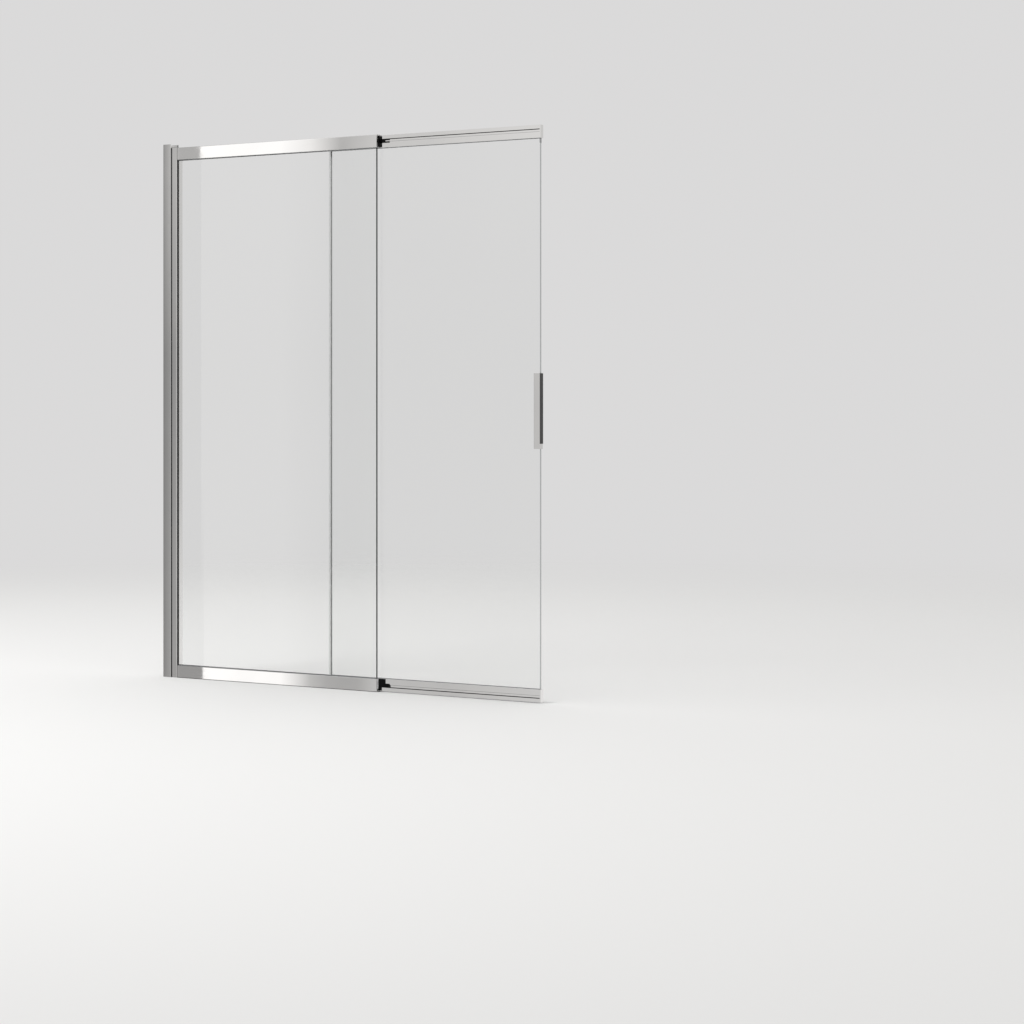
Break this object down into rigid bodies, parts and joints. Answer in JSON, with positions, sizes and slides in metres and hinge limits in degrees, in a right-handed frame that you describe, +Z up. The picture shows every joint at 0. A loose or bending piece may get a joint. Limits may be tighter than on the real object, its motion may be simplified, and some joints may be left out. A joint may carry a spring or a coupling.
{
  "type": "sliding bath screen",
  "caption": "Telescopic bath screen: a wall channel and stile hold a fixed glass pane in bright rails, and a second pane with a clip-on handle slides behind it on rollers.",
  "frame": {"origin": "on the wall face of the wall channel, at the level of the bath rim, at mid-depth of the fixed rails", "axes": "+X from the wall along the bath, +Y to the bath side, +Z up from the bath rim"},
  "size_m": [1.15, 0.0332, 1.4],
  "materials": {
    "bright_metal": "extruded aluminium, bright polished to look like chrome",
    "clear_glass": "clear toughened glass with polished edges",
    "black_rubber": "black, satin",
    "liner_rubber": "black, matt",
    "black_plastic": "black moulded acetal, fine satin",
    "steel": "stainless steel",
    "clear_seal": "clear flexible vinyl",
    "grey_seal": "dark grey flexible vinyl",
    "nylon": "white nylon"
  },
  "bodies": {
    "fixed_screen": {"wall_channel": "bright_metal", "channel_wiper_front": "black_rubber", "channel_wiper_rear": "black_rubber", "stile": "bright_metal", "stile_gasket": "black_rubber", "stile_screws": "steel", "screw_covers": "bright_metal", "rail_screws": "steel", "fixed_rail_bottom": "bright_metal", "fixed_rail_top": "bright_metal", "fixed_glass": "clear_glass", "fixed_seal_bottom": "grey_seal", "fixed_seal_top": "grey_seal", "pocket_plug_bottom": "bright_metal", "pocket_plug_top": "bright_metal", "guide_bottom": "black_plastic", "guide_top": "black_plastic", "guide_screws": "steel", "cradle_bottom": "black_plastic", "cradle_top": "black_plastic", "cradle_screws": "steel", "fixed_axles": "steel"},
    "sliding_panel": {"sliding_rail_bottom": "bright_metal", "sliding_rail_top": "bright_metal", "sliding_glass": "clear_glass", "sliding_seal_bottom": "grey_seal", "sliding_seal_top": "grey_seal", "overlap_seal": "clear_seal", "end_cap_bottom": "bright_metal", "end_cap_top": "bright_metal", "edge_buffer": "grey_seal", "handle": "bright_metal", "handle_bumper": "black_rubber", "handle_liner": "liner_rubber", "handle_screws": "steel", "carriage_bottom": "black_plastic", "carriage_top": "black_plastic", "carriage_screws": "steel", "slide_axles": "steel", "stop_bottom": "black_plastic", "stop_top": "black_plastic", "stop_screws": "steel"},
    "fixed_bottom_roller": {"roller_fixed_bottom": "nylon"},
    "fixed_top_roller": {"roller_fixed_top": "nylon"},
    "slide_bottom_roller": {"roller_slide_bottom": "nylon"},
    "slide_top_roller": {"roller_slide_top": "nylon"}
  },
  "joints": [
    {"name": "panel_slide", "type": "slide", "parent": "fixed_screen", "child": "sliding_panel", "axis": [-1, 0, 0], "range_m": [0, 0.4386]},
    {"name": "fixed_bottom_roller_spin", "type": "hinge", "parent": "fixed_screen", "child": "fixed_bottom_roller", "pos_m": [0.6605, 0.0052, 0.0055], "axis": [0, 1, 0], "continuous": true},
    {"name": "fixed_top_roller_spin", "type": "hinge", "parent": "fixed_screen", "child": "fixed_top_roller", "pos_m": [0.6605, 0.0052, 1.3845], "axis": [0, 1, 0], "continuous": true},
    {"name": "slide_bottom_roller_spin", "type": "hinge", "parent": "sliding_panel", "child": "slide_bottom_roller", "pos_m": [0.542, 0.0052, 0.0055], "axis": [0, 1, 0], "continuous": true},
    {"name": "slide_top_roller_spin", "type": "hinge", "parent": "sliding_panel", "child": "slide_top_roller", "pos_m": [0.542, 0.0052, 1.3845], "axis": [0, 1, 0], "continuous": true}
  ],
  "couplings": [
    {"joint": "fixed_bottom_roller_spin", "follows": "panel_slide", "rad_per_m": -243.9},
    {"joint": "fixed_top_roller_spin", "follows": "panel_slide", "rad_per_m": 243.9},
    {"joint": "slide_bottom_roller_spin", "follows": "panel_slide", "rad_per_m": -243.9},
    {"joint": "slide_top_roller_spin", "follows": "panel_slide", "rad_per_m": 243.9}
  ]
}
